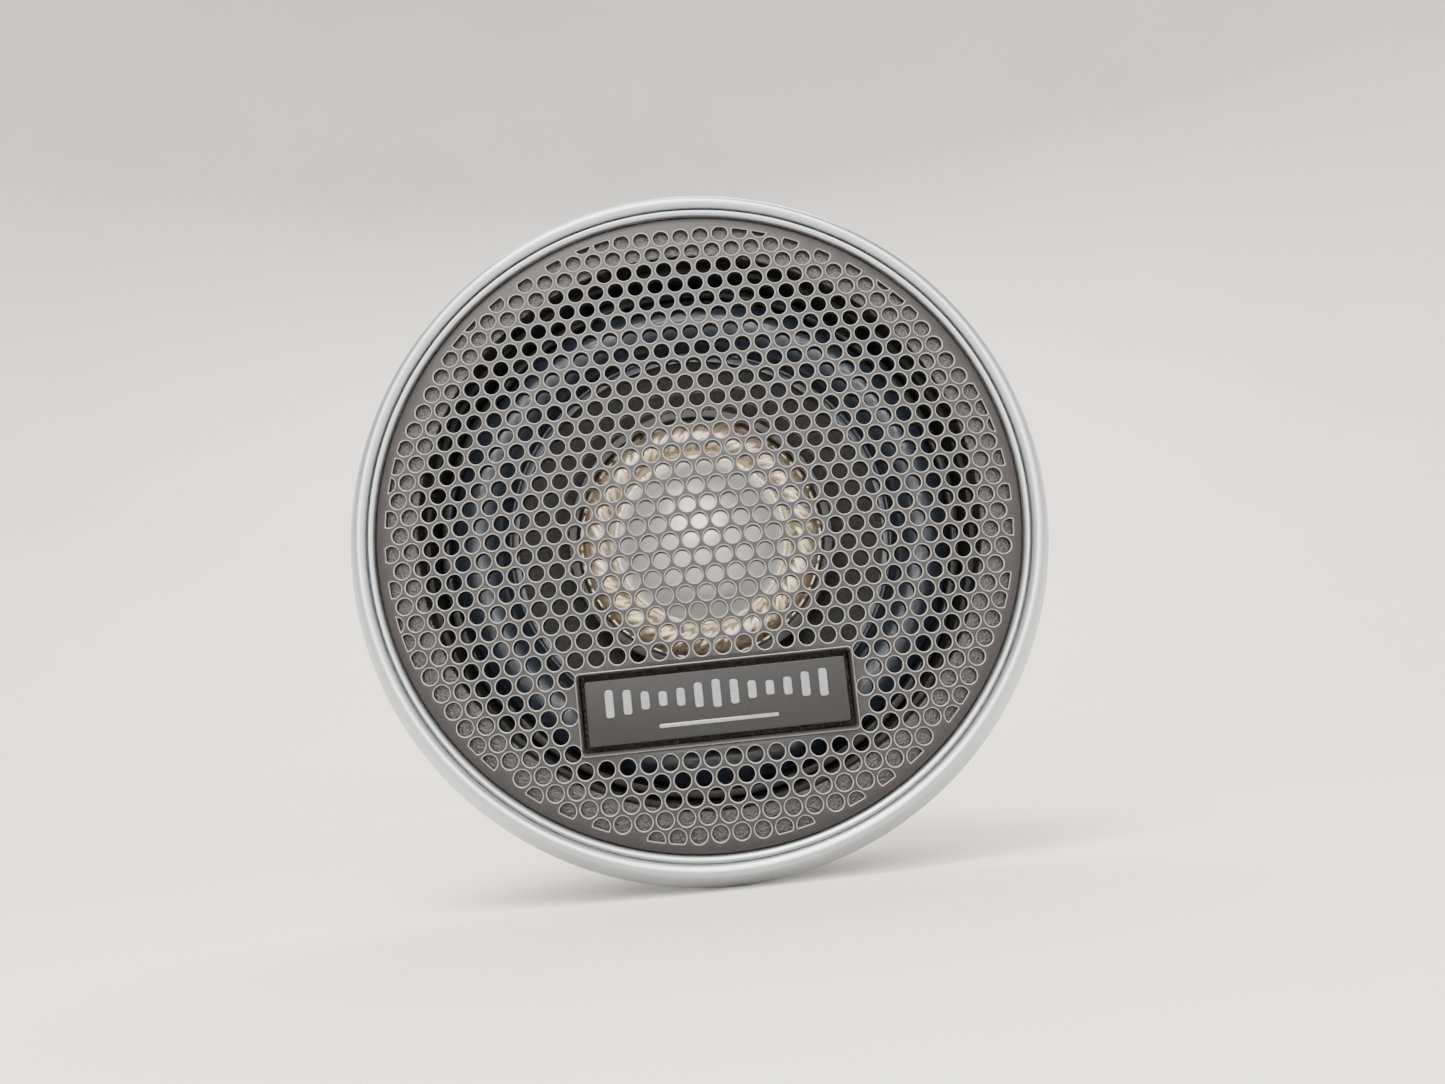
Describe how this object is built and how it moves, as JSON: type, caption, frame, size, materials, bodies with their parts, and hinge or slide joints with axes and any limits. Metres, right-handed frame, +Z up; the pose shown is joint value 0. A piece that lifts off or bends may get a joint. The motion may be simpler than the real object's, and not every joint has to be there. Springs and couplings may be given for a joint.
{
  "type": "car tweeter",
  "caption": "Round two-way car speaker with a silver trim ring, a dark domed perforated grille with a badge recess, and a dome tweeter in front of a cone driver.",
  "frame": {"origin": "centre of the panel seat, the plane of the trim ring's rear rim, on the speaker's axis", "axes": "+Z up with the badge below the axis, -Y out of the grille towards the listener, +Y rearwards through the panel, +X to the right seen from the front"},
  "size_m": [0.0834, 0.0502, 0.0834],
  "materials": {
    "silver_paint": "satin silver paint on moulded plastic",
    "grille_plastic": "fine-grained moulding",
    "badge_gloss": "satin",
    "basket_plastic": "glass-filled moulding",
    "foam": "open cell foam strip",
    "paper_cone": "pressed paper pulp",
    "surround_rubber": "glossy moulded roll",
    "ring_plastic": "smooth moulding",
    "former_film": "polyimide film",
    "copper_wire": "enamelled copper winding",
    "spider_cloth": "resin-stiffened woven cloth",
    "plated_steel": "zinc plated, turned",
    "ferrite": "ground ferrite",
    "dome_metal": "spun foil dome",
    "champagne_film": "crinkled coated film",
    "bright_magnet": "nickel plated",
    "felt": "pressed felt",
    "zinc_steel": "zinc plated",
    "spring_steel": "blued spring steel",
    "board_laminate": "phenolic laminate",
    "connector_plastic": "moulded nylon",
    "tin_plate": "tinned",
    "capacitor_sleeve": "shrink sleeve",
    "tinsel_braid": "braided tinsel",
    "red_wire": "wire insulation",
    "black_wire": "wire insulation"
  },
  "bodies": {
    "chassis": {"trim_ring": "silver_paint", "grille": "grille_plastic", "badge_plate": "badge_gloss", "panel_gasket": "foam", "basket": "basket_plastic", "cone_surround": "surround_rubber", "surround_clamp_ring": "ring_plastic", "spider": "spider_cloth", "front_plate": "plated_steel", "magnet_ring": "ferrite", "yoke": "plated_steel", "tweeter_surround": "champagne_film", "tweeter_face_ring": "ring_plastic", "tweeter_housing": "basket_plastic", "tweeter_yoke": "zinc_steel", "tweeter_magnet": "bright_magnet", "tweeter_pole_plate": "zinc_steel", "tweeter_damping_pad": "felt", "tweeter_post": "zinc_steel", "tweeter_spacer": "basket_plastic", "post_washer": "zinc_steel", "post_nut": "zinc_steel", "terminal_board": "board_laminate", "board_screw": "zinc_steel", "connector_housing": "connector_plastic", "capacitor": "capacitor_sleeve", "tweeter_lead_1": "red_wire", "tweeter_lead_2": "black_wire", "chassis_screw_1": "zinc_steel", "retaining_clip_1": "spring_steel", "clip_rivet_1": "zinc_steel", "chassis_screw_2": "zinc_steel", "retaining_clip_2": "spring_steel", "clip_rivet_2": "zinc_steel", "chassis_screw_3": "zinc_steel", "retaining_clip_3": "spring_steel", "clip_rivet_3": "zinc_steel", "terminal_pin_1": "tin_plate", "tinsel_lead_1": "tinsel_braid", "terminal_pin_2": "tin_plate", "tinsel_lead_2": "tinsel_braid"},
    "cone_assembly": {"cone": "paper_cone", "coil_former": "former_film", "coil_winding": "copper_wire"},
    "tweeter_diaphragm": {"tweeter_dome": "dome_metal", "tweeter_coil": "copper_wire"}
  },
  "joints": [
    {"name": "cone_travel", "type": "slide", "parent": "chassis", "child": "cone_assembly", "axis": [0, -1, 0], "range_m": [-0.0018, 0.0018], "stiffness_N_per_m": 1200, "deforming": ["cone_surround", "spider", "tinsel_lead_1", "tinsel_lead_2"]},
    {"name": "dome_travel", "type": "slide", "parent": "chassis", "child": "tweeter_diaphragm", "axis": [0, -1, 0], "range_m": [-0.0004, 0.0004], "stiffness_N_per_m": 1500, "deforming": ["tweeter_surround"]}
  ]
}
